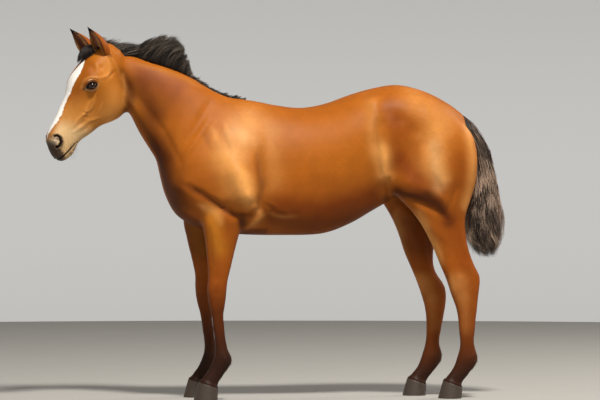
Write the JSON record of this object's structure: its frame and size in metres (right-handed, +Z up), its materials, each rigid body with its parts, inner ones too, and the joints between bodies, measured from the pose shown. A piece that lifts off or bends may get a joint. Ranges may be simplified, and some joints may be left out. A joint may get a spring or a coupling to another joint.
{
  "type": "young horse",
  "caption": "Life-size still model of a young bay horse standing square, head raised and turned a little to its left, mane blown back.",
  "frame": {"origin": "on the floor, under the middle of the animal's bounding box", "axes": "+Z up, -X towards the head, -Y towards the horse's left side"},
  "size_m": [2.0255, 0.4304, 1.621],
  "materials": {
    "coat": "short glossy coat",
    "ear": "short soft coat",
    "mane_hair": "soft long hair",
    "tail_hair": "coarse long hair",
    "eye": "wet",
    "horn": "satin horn"
  },
  "bodies": {
    "root": {"head": "coat", "neck": "coat", "trunk": "coat", "left_forearm": "coat", "right_forearm": "coat", "left_gaskin": "coat", "right_gaskin": "coat", "left_fore_cannon": "coat", "right_fore_cannon": "coat", "left_hind_cannon": "coat", "right_hind_cannon": "coat", "left_ear": "ear", "right_ear": "ear", "left_eye": "eye", "right_eye": "eye", "mane": "mane_hair", "forelock": "mane_hair", "tail": "tail_hair", "left_fore_hoof": "horn", "right_fore_hoof": "horn", "left_hind_hoof": "horn", "right_hind_hoof": "horn"}
  },
  "joints": []
}
